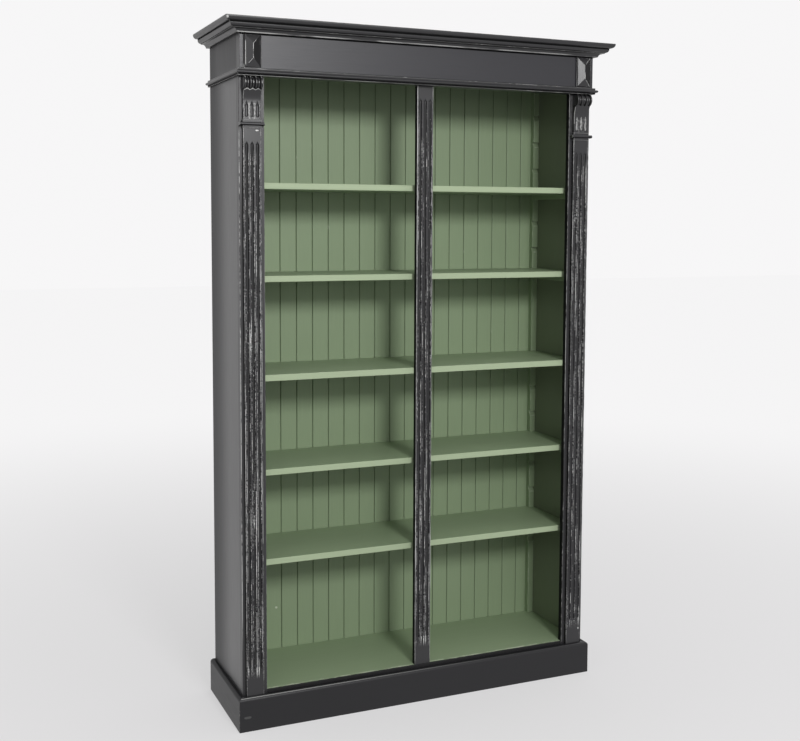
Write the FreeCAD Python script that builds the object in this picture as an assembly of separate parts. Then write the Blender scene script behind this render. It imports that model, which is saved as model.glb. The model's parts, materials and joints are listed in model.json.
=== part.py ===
import FreeCAD, Part
import math
import os

# Tall open bookcase of painted softwood, in millimetres.
# The origin lies on the floor under the middle of the whole piece,
# +X to its right as seen from the front, +Y to its back and +Z up.
# Places in depth are first counted from the front face of the stiles,
# which is the plane "front" below, with +Y going back.

# Carcass
overall_height = 2200.0
carcass_width = 1240.0
carcass_depth = 345.0
panel_thick = 20.0
stile_width = 80.0
stile_thick = 20.0
top_thick = 20.0
floor_thick = 20.0
floor_rise = 10.0
floor_round = 3.0
housing_depth = 8.0

# Plinth
plinth_height = 108.0
plinth_front_proj = 24.0
plinth_side_proj = 17.0
plinth_thumb_drop = 11.0
plinth_thumb_run = 9.0
plinth_thumb_rise = 2.8
plinth_rail_thick = 20.0

# Back of tongue-and-groove boards
back_thick = 14.0
back_recess = 4.0
rabbet_width = 10.0
board_pitch = 57.8
first_board = 47.5
board_gap = 0.4
board_chamfer = 2.0
tongue_length = 6.0
tongue_thick = 4.5
groove_clear = 0.4

# Shelves
shelf_thick = 20.0
shelf_end_clear = 1.0
shelf_back_clear = 1.0
shelf_notch_clear = 0.8
shelf_setback = 38.0
shelf_round = 2.0
middle_shelf_height = 1000.0

# Toothed strips with the cleats that the shelves lie on
strip_size = 22.0
tooth_pitch = 96.3
tooth_height = 17.0
tooth_depth = 9.0
lower_first_tooth = 292.0
upper_first_tooth = 289.0
strip_end_margin = 80.0
cleat_clear = 0.3

# The teeth that carry the loose shelves, counted up from the lowest, which is 0
lower_shelf_teeth = (1, 4)
upper_shelf_teeth = (0, 3)

# Pilasters and centre post
pilaster_width = 56.0
pilaster_thick = 11.0
pilaster_inset = 11.0
pilaster_ease = 1.0
flute_count = 3
flute_spacing = 17.0
flute_radius = 5.0
flute_taper = 9.0
side_flute_rise = 82.0
centre_flute_rise = 87.0
flute_margin = 40.0

# Collar below each capital: a nosing between two fillets
collar_nose_height = 10.0
collar_fillet_height = 7.5
collar_fillet_proj = 2.5
collar_nose_proj = 9.0
collar_nose_inset = 3.0
collar_nose_overhang = 1.5
collar_fillet_overhang = 1.5

# Capital with its grooved roll
capital_height = 130.5
roll_radius = 21.0
roll_setoff = 15.0
roll_overhang = 1.0
roll_groove_width = 12.5
roll_groove_floor = 3.0
roll_groove_depth = 3.6
neck_proj = 10.0
neck_height = 32.5
neck_sag = 2.4
gouge_low = 8.0
gouge_length = 48.0

# Frieze, corner plates and faceted bosses
entablature_height = 167.5
frieze_thick = 17.0
plate_thick = 5.5
boss_width = 47.0
boss_height = 95.0
boss_rise = 9.0
boss_ridge_length = 44.0
boss_ridge_flat = 1.0

# Architrave: a nosing between two flat fillets
arch_low_fillet = 6.0
arch_nose_height = 8.0
arch_high_fillet = 7.0
arch_fillet_proj = 7.5
arch_nose_proj = 15.0

# Crown moulding, from its top edge down and in towards the frieze
crown_height = 42.5
crown_proj = 55.0
crown_top_fillet = 3.0
crown_top_round = 12.0
crown_step = 3.2
crown_mid_fillet = 3.8
crown_mid_round = 10.3
crown_low_fillet = 2.0
crown_soffit = 8.8
crown_cove_run = 8.5
crown_cove_sag = 1.6

# Sagitta of a quarter circle as a share of its chord
quarter_sag_share = (math.sqrt(2) - 1) / 2

# How far a cut runs past the piece, and how close two places count as one
overrun = 5.0
same_place = 0.005

# Derived places
half_width = carcass_width / 2
inner_half = half_width - panel_thick
opening_half = half_width - stile_width
back = (carcass_depth + frieze_thick + crown_proj) / 2
front = back - carcass_depth
stile_back = front + stile_thick
board_front = back - back_recess - back_thick
top_under = overall_height - top_thick
opening_top = overall_height - entablature_height
floor_top = plinth_height + floor_rise
floor_under = floor_top - floor_thick
middle_shelf_top = floor_top + middle_shelf_height
middle_shelf_under = middle_shelf_top - shelf_thick
frieze_front = front - frieze_thick
pilaster_front = front - pilaster_thick
pilaster_side = half_width - pilaster_inset - pilaster_width
pilaster_centre = pilaster_side + pilaster_width / 2
collar_top = opening_top - capital_height
collar_low = collar_top - collar_nose_height - 2 * collar_fillet_height
crown_low = overall_height - crown_height
strip_inner = inner_half - strip_size
rear_strip_face = board_front - strip_size
front_strip_face = stile_back + strip_size
shelf_front = front + shelf_setback
shelf_back = board_front - shelf_back_clear


def vec(x, y, z):
    return FreeCAD.Vector(x, y, z)


def box(x0, x1, y0, y1, z0, z1):
    return Part.makeBox(x1 - x0, y1 - y0, z1 - z0, vec(x0, y0, z0))


def section(x, y, z, moves):
    """Closed face in the plane x, from (y, z) along moves of (dy, dz, sag).

    sag is how far the middle of a curved side stands off its chord, to the
    left of its way; it is zero for a straight side. The last side is straight.
    """
    edges = []
    start = vec(x, y, z)
    here = start
    for dy, dz, sag in moves:
        there = here + vec(0, dy, dz)
        if sag:
            left = vec(0, -dz, dy).normalize()
            edges.append(Part.Arc(here, (here + there) * 0.5 + left * sag, there).toShape())
        else:
            edges.append(Part.makeLine(here, there))
        here = there
    edges.append(Part.makeLine(here, start))
    return Part.Face(Part.Wire(edges))


def polygon_prism(points, along):
    wire = Part.makePolygon(points + points[:1])
    return Part.Face(wire).extrude(along)


def mirrored(shape):
    return shape.mirror(vec(0, 0, 0), vec(1, 0, 0))


def wrapped_moulding(face, corner_y, proj):
    """Front, left and right lengths of one moulding round the carcass, mitred.

    face is its section at the front, in the plane x = half_width. The mitre
    runs out at 45 degrees from the corner at half_width, corner_y.
    """
    reach = proj + overrun
    height = overall_height + 2 * overrun
    corner = vec(half_width, corner_y, -overrun)
    side_plan = [corner, corner + vec(reach, -reach, 0),
                 vec(half_width + reach, back, -overrun), vec(half_width, back, -overrun)]
    front_plan = [corner, corner + vec(reach, -reach, 0), corner + vec(0, -reach, 0)]
    wing = polygon_prism(front_plan, vec(0, 0, height))
    middle = box(-half_width, half_width, corner_y - reach, stile_back, -overrun, height)
    front_bar = face.extrude(vec(-2 * half_width - reach, 0, 0))
    front_bar = front_bar.fuse(face.extrude(vec(reach, 0, 0)))
    front_part = front_bar.common(middle.fuse([wing, mirrored(wing)]))
    side_face = face.copy()
    side_face.rotate(vec(half_width, corner_y, 0), vec(0, 0, 1), 90)
    side_bar = side_face.extrude(vec(0, carcass_depth + reach, 0))
    side_bar = side_bar.fuse(side_face.extrude(vec(0, -reach, 0)))
    side_part = side_bar.common(polygon_prism(side_plan, vec(0, 0, height)))
    return front_part, side_part


def add_wrapped(name, face, corner_y, proj):
    front_part, side_part = wrapped_moulding(face, corner_y, proj)
    add(name + "_front", front_part)
    add_pair(name, side_part)


def flute_centres(centre):
    return [centre + (i - (flute_count - 1) / 2) * flute_spacing for i in range(flute_count)]


def fluted(shape, centre, y, low, high):
    """Round grooves with tapered ends, cut into the face at y between two heights."""
    shaft_low = low + flute_taper
    shaft_high = high - flute_taper
    for x in flute_centres(centre):
        shaft = Part.makeCylinder(flute_radius, shaft_high - shaft_low, vec(x, y, shaft_low))
        tip = Part.makeCone(flute_radius, 0, flute_taper, vec(x, y, shaft_high))
        foot = Part.makeCone(0, flute_radius, flute_taper, vec(x, y, low))
        shape = shape.cut(shaft.fuse([tip, foot]))
    return shape


def eased_bar(x0, x1, y0, y1, z0, z1, ease):
    """Upright bar whose two front arrises are eased."""
    plan = [vec(x0, y1, z0), vec(x0, y0 + ease, z0), vec(x0 + ease, y0, z0),
            vec(x1 - ease, y0, z0), vec(x1, y0 + ease, z0), vec(x1, y1, z0)]
    return polygon_prism(plan, vec(0, 0, z1 - z0))


def front_edges(shape, y):
    """The long edges along X that lie in the plane y."""
    found = []
    for edge in shape.Edges:
        ends = [vertex.Point for vertex in edge.Vertexes]
        if len(ends) == 2 and abs(ends[0].x - ends[1].x) > stile_width:
            if max(abs(end.y - y) for end in ends) < same_place:
                found.append(edge)
    return found


pieces = {}


def add(name, shape):
    pieces[name] = shape.removeSplitter()


def add_pair(name, right):
    add(name + "_right", right)
    add(name + "_left", mirrored(right))


# Side panels, housed for the floor and the middle shelf and rabbeted for the back
side = box(inner_half, half_width, stile_back, back, 0, top_under)
for under, top in ((floor_under, floor_top), (middle_shelf_under, middle_shelf_top)):
    side = side.cut(box(inner_half - overrun, inner_half + housing_depth,
                        stile_back - overrun, board_front, under, top))
side = side.cut(box(inner_half - overrun, inner_half + rabbet_width,
                    board_front, back + overrun, floor_under, top_under + overrun))
add_pair("side_panel", side)

# Front frame: stiles and head rail, with the dust top over all
add_pair("stile", box(opening_half, half_width, front, stile_back, 0, top_under))
add("head_rail", box(-opening_half, opening_half, front, stile_back, opening_top, top_under))
add("top_board", box(-half_width, half_width, frieze_front, back, top_under, overall_height))

# Floor board, housed in the sides and let in between the stiles at its front
floor_half = inner_half + housing_depth
floor_board = box(-floor_half, floor_half, stile_back, board_front, floor_under, floor_top)
floor_board = floor_board.fuse(box(-opening_half, opening_half, front, stile_back,
                                   floor_under, floor_top)).removeSplitter()
floor_nose = [edge for edge in front_edges(floor_board, front)
              if edge.Vertexes[0].Z > floor_top - floor_thick / 2]
add("floor_board", floor_board.makeFillet(floor_round, floor_nose))

# Fixed middle shelf, housed in the side panels and butted to stiles and post
middle = box(-floor_half, floor_half, stile_back, board_front,
             middle_shelf_under, middle_shelf_top)
add("middle_shelf", middle)

# Plinth: front and sides mitred round the carcass, with a rail at the back under the floor
plinth_section = section(half_width, front, 0, [
    (-plinth_front_proj, 0, 0),
    (0, plinth_height - plinth_thumb_drop, 0),
    (plinth_thumb_run, plinth_thumb_drop, plinth_thumb_rise),
    (plinth_front_proj - plinth_thumb_run, 0, 0)])
add_wrapped("plinth", plinth_section, front - plinth_front_proj + plinth_side_proj,
            plinth_side_proj)
rail_back = back - back_recess
add("plinth_back_rail", box(-inner_half, inner_half, rail_back - plinth_rail_thick, rail_back,
                            0, floor_under))


# Back boards: each one has a groove on its left edge and a tongue on its right
def board(x0, x1, grooved, tongued):
    y0 = board_front
    y1 = board_front + back_thick
    middle_y = (y0 + y1) / 2
    tongue_half = tongue_thick / 2
    groove_half = tongue_half + groove_clear
    groove_x = x0 + tongue_length + groove_clear
    plan = [(x0, y1)]
    if grooved:
        plan += [(x0, middle_y + groove_half), (groove_x, middle_y + groove_half),
                 (groove_x, middle_y - groove_half), (x0, middle_y - groove_half)]
    plan += [(x0, y0 + board_chamfer), (x0 + board_chamfer, y0),
             (x1 - board_chamfer, y0), (x1, y0 + board_chamfer)]
    if tongued:
        tongue_x = x1 + tongue_length
        plan += [(x1, middle_y - tongue_half), (tongue_x, middle_y - tongue_half),
                 (tongue_x, middle_y + tongue_half), (x1, middle_y + tongue_half)]
    plan.append((x1, y1))
    points = [vec(x, y, floor_under) for x, y in plan]
    return polygon_prism(points, vec(0, 0, top_under - floor_under))


back_half = inner_half + rabbet_width - board_gap
joints = [-back_half + first_board]
while joints[-1] + board_pitch < back_half:
    joints.append(joints[-1] + board_pitch)
starts = [-back_half] + [x + board_gap / 2 for x in joints]
ends = [x - board_gap / 2 for x in joints] + [back_half]
boards = []
for x0, x1 in zip(starts, ends):
    boards.append(board(x0, x1, x0 != starts[0], x1 != ends[-1]))
pieces["back_boards"] = Part.makeCompound(boards)


# Toothed strips: each notch has a flat ceiling and a floor that slopes out to the face
def strip(face, depth_way, low, high, ceilings):
    plan = [(face, low)]
    for ceiling in ceilings:
        plan += [(face, ceiling - tooth_height), (face + depth_way * tooth_depth, ceiling),
                 (face, ceiling)]
    plan += [(face, high), (face + depth_way * strip_size, high),
             (face + depth_way * strip_size, low)]
    points = [vec(strip_inner, y, z) for y, z in plan]
    return polygon_prism(points, vec(strip_size, 0, 0))


def tooth_ceilings(low, high, first):
    ceilings = [low + first]
    while ceilings[-1] + tooth_pitch < high - strip_end_margin:
        ceilings.append(ceilings[-1] + tooth_pitch)
    return ceilings


lower_teeth = tooth_ceilings(floor_top, middle_shelf_under, lower_first_tooth)
upper_teeth = tooth_ceilings(middle_shelf_top, top_under, upper_first_tooth)
for level, low, high, teeth in (("lower", floor_top, middle_shelf_under, lower_teeth),
                                ("upper", middle_shelf_top, top_under, upper_teeth)):
    add_pair("strip_rear_" + level, strip(rear_strip_face, 1, low, high, teeth))
    add_pair("strip_front_" + level, strip(front_strip_face, -1, low, high, teeth))


# A cleat's bevelled ends rest in one notch of a front strip and one of a rear strip
def cleat(ceiling):
    reach = tooth_depth * (tooth_height - cleat_clear) / tooth_height
    top = ceiling - cleat_clear
    low = ceiling - tooth_height
    plan = [(front_strip_face - reach, top), (front_strip_face, low),
            (rear_strip_face, low), (rear_strip_face + reach, top)]
    points = [vec(strip_inner, y, z) for y, z in plan]
    return polygon_prism(points, vec(strip_size, 0, 0))


# Loose shelf, notched at its corners round the strips
def shelf(under):
    end = inner_half - shelf_end_clear
    notch_x = strip_inner - shelf_notch_clear
    front_notch = front_strip_face + shelf_notch_clear
    back_notch = rear_strip_face - shelf_notch_clear
    slab = box(-end, end, shelf_front, shelf_back, under, under + shelf_thick)
    slab = slab.makeFillet(shelf_round, front_edges(slab, shelf_front))
    for y0, y1 in ((shelf_front - overrun, front_notch), (back_notch, shelf_back + overrun)):
        corner = box(notch_x, end + overrun, y0, y1, under - overrun,
                     under + shelf_thick + overrun)
        slab = slab.cut([corner, mirrored(corner)])
    return slab


# Each loose shelf lies on the cleats of one tooth, numbered from the floor up
shelf_ceilings = ([lower_teeth[i] for i in lower_shelf_teeth]
                  + [upper_teeth[i] for i in upper_shelf_teeth])
for number, ceiling in enumerate(shelf_ceilings, 1):
    add_pair("cleat_%d" % number, cleat(ceiling))
    add("shelf_%d" % number, shelf(ceiling - cleat_clear))

# Fluted pilasters on the stiles, and the fluted post between floor and head rail
pilaster = eased_bar(pilaster_side, pilaster_side + pilaster_width, pilaster_front, front,
                     plinth_height, collar_low, pilaster_ease)
add_pair("pilaster", fluted(pilaster, pilaster_centre, pilaster_front,
                            plinth_height + side_flute_rise, collar_low - flute_margin))
post = eased_bar(-pilaster_width / 2, pilaster_width / 2, front, stile_back,
                 floor_top, opening_top, pilaster_ease)
add("centre_post", fluted(post, 0, front, floor_top + centre_flute_rise,
                           opening_top - flute_margin))

# Collar: a half-round nosing across the stile, on a fillet as wide as the pilaster
fillet_side = pilaster_side - collar_fillet_overhang
fillet = box(fillet_side, fillet_side + pilaster_width + 2 * collar_fillet_overhang,
             pilaster_front - collar_fillet_proj, front, collar_low, collar_top)
nose_radius = collar_nose_height / 2
nose_run = pilaster_thick + collar_nose_proj - nose_radius
nose_side = opening_half + collar_nose_inset
nose_section = section(nose_side, front, collar_low + collar_fillet_height, [
    (-nose_run, 0, 0),
    (0, collar_nose_height, nose_radius),
    (nose_run, 0, 0)])
nose = nose_section.extrude(vec(half_width + collar_nose_overhang - nose_side, 0, 0))
add_pair("collar", fillet.fuse(nose))

# Capital: a gouged block whose neck flares out to a half-round roll with three grooves
roll_y = front - roll_setoff
roll_z = opening_top - roll_radius
roll_low = opening_top - 2 * roll_radius
roll_x0 = pilaster_side - roll_overhang
roll_x1 = pilaster_side + pilaster_width + roll_overhang
capital_section = section(pilaster_side, front, collar_top, [
    (-pilaster_thick, 0, 0),
    (0, roll_low - neck_height - collar_top, 0),
    (-neck_proj, neck_height, -neck_sag),
    (pilaster_thick + neck_proj, 0, 0)])
block = capital_section.extrude(vec(pilaster_width, 0, 0))
gouge_start = collar_top + gouge_low
block = fluted(block, pilaster_centre, pilaster_front, gouge_start, gouge_start + gouge_length)
roll_axis = vec(roll_x0, roll_y, roll_z)
rim = [roll_axis, vec(roll_x0, roll_y, opening_top)]
for x in flute_centres(pilaster_centre):
    rim += [vec(x - roll_groove_width / 2, roll_y, opening_top),
            vec(x - roll_groove_floor / 2, roll_y, opening_top - roll_groove_depth),
            vec(x + roll_groove_floor / 2, roll_y, opening_top - roll_groove_depth),
            vec(x + roll_groove_width / 2, roll_y, opening_top)]
rim += [vec(roll_x1, roll_y, opening_top), vec(roll_x1, roll_y, roll_z), roll_axis]
roll = Part.Face(Part.makePolygon(rim)).revolve(roll_axis, vec(1, 0, 0), 180)
add_pair("capital", block.fuse([box(roll_x0, roll_x1, roll_y, front, roll_low, opening_top),
                                roll]))

# Frieze board, with a plate and a faceted boss above each pilaster
add("frieze_board", box(-half_width, half_width, frieze_front, front, opening_top, top_under))
plate_low = opening_top + arch_low_fillet + arch_nose_height + arch_high_fillet
plate_front = frieze_front - plate_thick
add_pair("corner_plate", box(pilaster_side, pilaster_side + pilaster_width, plate_front,
                             frieze_front, plate_low, crown_low))
ridge_half = boss_ridge_length / 2
boss = Part.makeWedge(-boss_width / 2, 0, -boss_height / 2, -ridge_half, -boss_ridge_flat / 2,
                      boss_width / 2, boss_rise, boss_height / 2, ridge_half, boss_ridge_flat / 2)
boss.rotate(vec(0, 0, 0), vec(0, 0, 1), 180)
boss.translate(vec(pilaster_centre, plate_front, (plate_low + crown_low) / 2))
add_pair("corner_boss", boss)

# Architrave under the frieze: a half-round nosing between two flat fillets
nose_radius = arch_nose_height / 2
nose_run = arch_nose_proj - nose_radius - arch_fillet_proj
arch_section = section(half_width, frieze_front, opening_top, [
    (-arch_fillet_proj, 0, 0),
    (0, arch_low_fillet, 0),
    (-nose_run, 0, 0),
    (0, arch_nose_height, nose_radius),
    (nose_run, 0, 0),
    (0, arch_high_fillet, 0),
    (arch_fillet_proj, 0, 0)])
add_wrapped("architrave", arch_section, frieze_front, arch_nose_proj)

# Crown moulding: two quarter rounds over a shallow cove
top_sag = crown_top_round * math.sqrt(2) * quarter_sag_share
mid_sag = crown_mid_round * math.sqrt(2) * quarter_sag_share
cove_drop = (crown_height - crown_top_fillet - crown_top_round - crown_mid_fillet
             - crown_mid_round - crown_low_fillet)
crown_section = section(half_width, frieze_front, overall_height, [
    (-crown_proj, 0, 0),
    (0, -crown_top_fillet, 0),
    (crown_top_round, -crown_top_round, -top_sag),
    (crown_step, 0, 0),
    (0, -crown_mid_fillet, 0),
    (crown_mid_round, -crown_mid_round, -mid_sag),
    (0, -crown_low_fillet, 0),
    (crown_soffit, 0, 0),
    (crown_cove_run, -cove_drop, crown_cove_sag),
    (crown_proj - crown_top_round - crown_step - crown_mid_round - crown_soffit
     - crown_cove_run, 0, 0)])
add_wrapped("crown", crown_section, frieze_front, crown_proj)

os.makedirs("parts", exist_ok=True)
for name, shape in pieces.items():
    shape.exportStep("parts/%s.step" % name)
    print("%-24s solids %2d  volume %.1f" % (name, len(shape.Solids), shape.Volume))
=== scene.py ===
import json
import math

import bmesh
import bpy
from mathutils import Matrix, Vector
from mathutils.bvhtree import BVHTree


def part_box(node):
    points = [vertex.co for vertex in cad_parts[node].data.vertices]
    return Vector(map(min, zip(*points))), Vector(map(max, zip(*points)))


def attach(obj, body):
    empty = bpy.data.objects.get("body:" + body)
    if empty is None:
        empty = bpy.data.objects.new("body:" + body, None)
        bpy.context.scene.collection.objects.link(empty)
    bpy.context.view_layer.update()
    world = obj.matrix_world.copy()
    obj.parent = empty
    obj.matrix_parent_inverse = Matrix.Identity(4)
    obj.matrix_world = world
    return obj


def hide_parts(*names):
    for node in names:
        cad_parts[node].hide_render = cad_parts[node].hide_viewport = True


# Looks of a tall open bookcase: worn black satin paint outside, sage green inside.
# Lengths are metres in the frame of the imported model, +Z up and -Y to the front.

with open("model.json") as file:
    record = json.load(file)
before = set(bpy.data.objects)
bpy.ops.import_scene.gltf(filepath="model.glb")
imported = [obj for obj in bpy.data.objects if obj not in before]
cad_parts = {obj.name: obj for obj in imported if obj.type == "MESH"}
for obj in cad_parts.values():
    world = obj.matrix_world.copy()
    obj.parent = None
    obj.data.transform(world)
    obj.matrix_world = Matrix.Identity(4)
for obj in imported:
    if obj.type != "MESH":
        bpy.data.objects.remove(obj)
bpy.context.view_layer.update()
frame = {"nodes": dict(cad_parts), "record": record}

ALONG_X, ALONG_Y, ALONG_Z = 0, 1, 2

# Paint colours, linear
BLACK = (0.0135, 0.0131, 0.0150)
BLUE_BLACK = (0.0135, 0.0133, 0.0180)
# Near black: painted shade in hollows, and also the real black paint of the floor board's front
# edge
SHADE_AND_EDGE_BLACK = (0.0040, 0.0039, 0.0045)
GREEN = (0.268, 0.346, 0.213)
# Painted light and shade in green: darker on the side panels' inner faces, lighter on the front
# edges, near black in hollows
SHADED_SIDE_GREEN = (0.178, 0.205, 0.141)
LIT_EDGE_GREEN = (0.415, 0.505, 0.330)
SHADE_GREEN = (0.040, 0.050, 0.032)
RUBBED_GREEN = (0.56, 0.62, 0.48)
UNDERCOAT = (0.62, 0.62, 0.61)
PALE_UNDERCOAT = (0.80, 0.80, 0.79)
BACKGROUND = (0.93, 0.925, 0.93)
FLOOR = (0.62, 0.61, 0.62)
FLOOR_BOUNCE = (0.36, 0.36, 0.36)

# How rough and how shiny the coats are, and how high their brush marks stand
BLACK_ROUGHNESS = 0.38
SIDE_ROUGHNESS = 0.36
CARVED_ROUGHNESS = 0.30
GREEN_ROUGHNESS = 0.46
MATT_ROUGHNESS = 0.7
BLACK_SHINE = 0.56
GREEN_SHINE = 0.4
RELIEF = 0.00006
BRUSHED_RELIEF = 0.0004

# How far the shade of a coat swings with the brush marks, and slowly over the piece
STREAK = 0.16
CLOUD = 0.14

# How far the roughness swings with the brush marks, and what wear and dullness add to it
ROUGHNESS_SWING = 0.16
WORN_ROUGHNESS = 0.3
DULL_ROUGHNESS = 0.28

# Heights of fibres, brush marks and worn places as shares of the relief
FIBRE_HEIGHT = 0.6
STROKE_HEIGHT = 0.5
WORN_DEPTH = 1.5

# Spots end raggedly between these reaches, and rubbed flutes within this step of the score
SPOT_INSIDE = 1.4
SPOT_OUTSIDE = 1.6
SPOT_STRETCH = 500.0
RUB_STEP = 0.015

# Arrises of the dressed pieces are rounded this much, where the faces turn more sharply
# than SHARP_TURN, or BOSS_TURN on the bosses. Faces that turn less than FLAT_TURN are one.
ARRIS = 0.0011
SHARP_TURN = math.radians(27)
BOSS_TURN = math.radians(15)
SMOOTH_TURN = math.radians(24)
CARVED_SMOOTH_TURN = math.radians(50)
FLAT_TURN = math.radians(0.5)
SAME_PLACE = 1e-6

# Feelers tell how hollow a narrow face is: their reach and number, how far off the face
# they start and where along it, the widest face felt, and the share that makes it painted shade
FEELER = 0.014
FEELERS = 14
FEELER_START = 0.0004
FEELER_PLACES = (-0.35, 0.0, 0.35)
NARROW = 0.016
DEEP = 0.32

# Open joints round the bosses and along the frieze
JOINT = 0.0022
TOP_JOINT = 0.0040
JOINT_DEPTH = 0.0015
JOINT_SLACK = 0.0001
TURNED_TO_FRONT = -0.99

# Places that the paint follows
INNER_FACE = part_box("side_panel_right")[0].x
FLOOR_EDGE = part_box("floor_board")[0].y
FLUTE_SPACING = 0.017
FLUTE_HALF = 0.005
PILASTER_LOW, PILASTER_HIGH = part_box("pilaster_right")
PILASTER_CENTRE = (PILASTER_LOW.x + PILASTER_HIGH.x) / 2
PILASTER_HALF = (PILASTER_HIGH.x - PILASTER_LOW.x) / 2
STILE_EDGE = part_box("stile_right")[1].x
CAPITAL_LOW, CAPITAL_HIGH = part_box("capital_right")


# Shader nodes

def feed(tree, socket, value):
    """Links a socket to another node's output, or sets it to a constant."""
    if isinstance(value, bpy.types.NodeSocket):
        tree.links.new(value, socket)
    else:
        socket.default_value = value


def sums(tree, operation, *values):
    node = tree.nodes.new("ShaderNodeMath")
    node.operation = operation
    for socket, value in zip(node.inputs, values):
        feed(tree, socket, value)
    return node.outputs[0]


def vectors(tree, operation, *values):
    node = tree.nodes.new("ShaderNodeVectorMath")
    node.operation = operation
    for socket, value in zip(node.inputs, values):
        feed(tree, socket, value)
    return node


def product(tree, first, *others):
    for other in others:
        first = sums(tree, "MULTIPLY", first, other)
    return first


def greatest(tree, first, *others):
    for other in others:
        first = sums(tree, "MAXIMUM", first, other)
    return first


def between(tree, value, low, high):
    """0 up to low, 1 from high, smooth in between; falls instead where low is above high."""
    node = tree.nodes.new("ShaderNodeMapRange")
    node.interpolation_type = "SMOOTHSTEP"
    flip = low > high
    feed(tree, node.inputs["Value"], value)
    node.inputs["From Min"].default_value = min(low, high)
    node.inputs["From Max"].default_value = max(low, high)
    node.inputs["To Min"].default_value = 1.0 if flip else 0.0
    node.inputs["To Max"].default_value = 0.0 if flip else 1.0
    return node.outputs["Result"]


def blend(tree, factor, first, second):
    """The first colour at factor 0 and the second at 1."""
    node = tree.nodes.new("ShaderNodeMix")
    node.data_type = "RGBA"
    feed(tree, node.inputs["Factor"], factor)
    for name, value in (("A", first), ("B", second)):
        if not isinstance(value, bpy.types.NodeSocket):
            value = (*value, 1.0)
        feed(tree, [s for s in node.inputs if s.name == name and s.type == "RGBA"][0], value)
    return [s for s in node.outputs if s.type == "RGBA"][0]


def noise(tree, place, stretch, detail=3.0, roughness=0.55, shift=(0.0, 0.0, 0.0)):
    """Noise whose grain is 1 / stretch metres along each axis."""
    mapping = tree.nodes.new("ShaderNodeMapping")
    mapping.inputs["Scale"].default_value = stretch
    mapping.inputs["Location"].default_value = shift
    tree.links.new(place, mapping.inputs["Vector"])
    node = tree.nodes.new("ShaderNodeTexNoise")
    node.inputs["Scale"].default_value = 1.0
    node.inputs["Detail"].default_value = detail
    node.inputs["Roughness"].default_value = roughness
    tree.links.new(mapping.outputs["Vector"], node.inputs["Vector"])
    return node.outputs["Fac"]


def along(axis, length_scale, cross_scale):
    """Stretch for noise whose strokes run along one axis."""
    return tuple(length_scale if i == axis else cross_scale for i in range(3))


def reads(tree, name):
    """Value that the mesh carries under this name, 0 where it carries none."""
    node = tree.nodes.new("ShaderNodeAttribute")
    node.attribute_name = name
    return node.outputs["Fac"]


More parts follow.
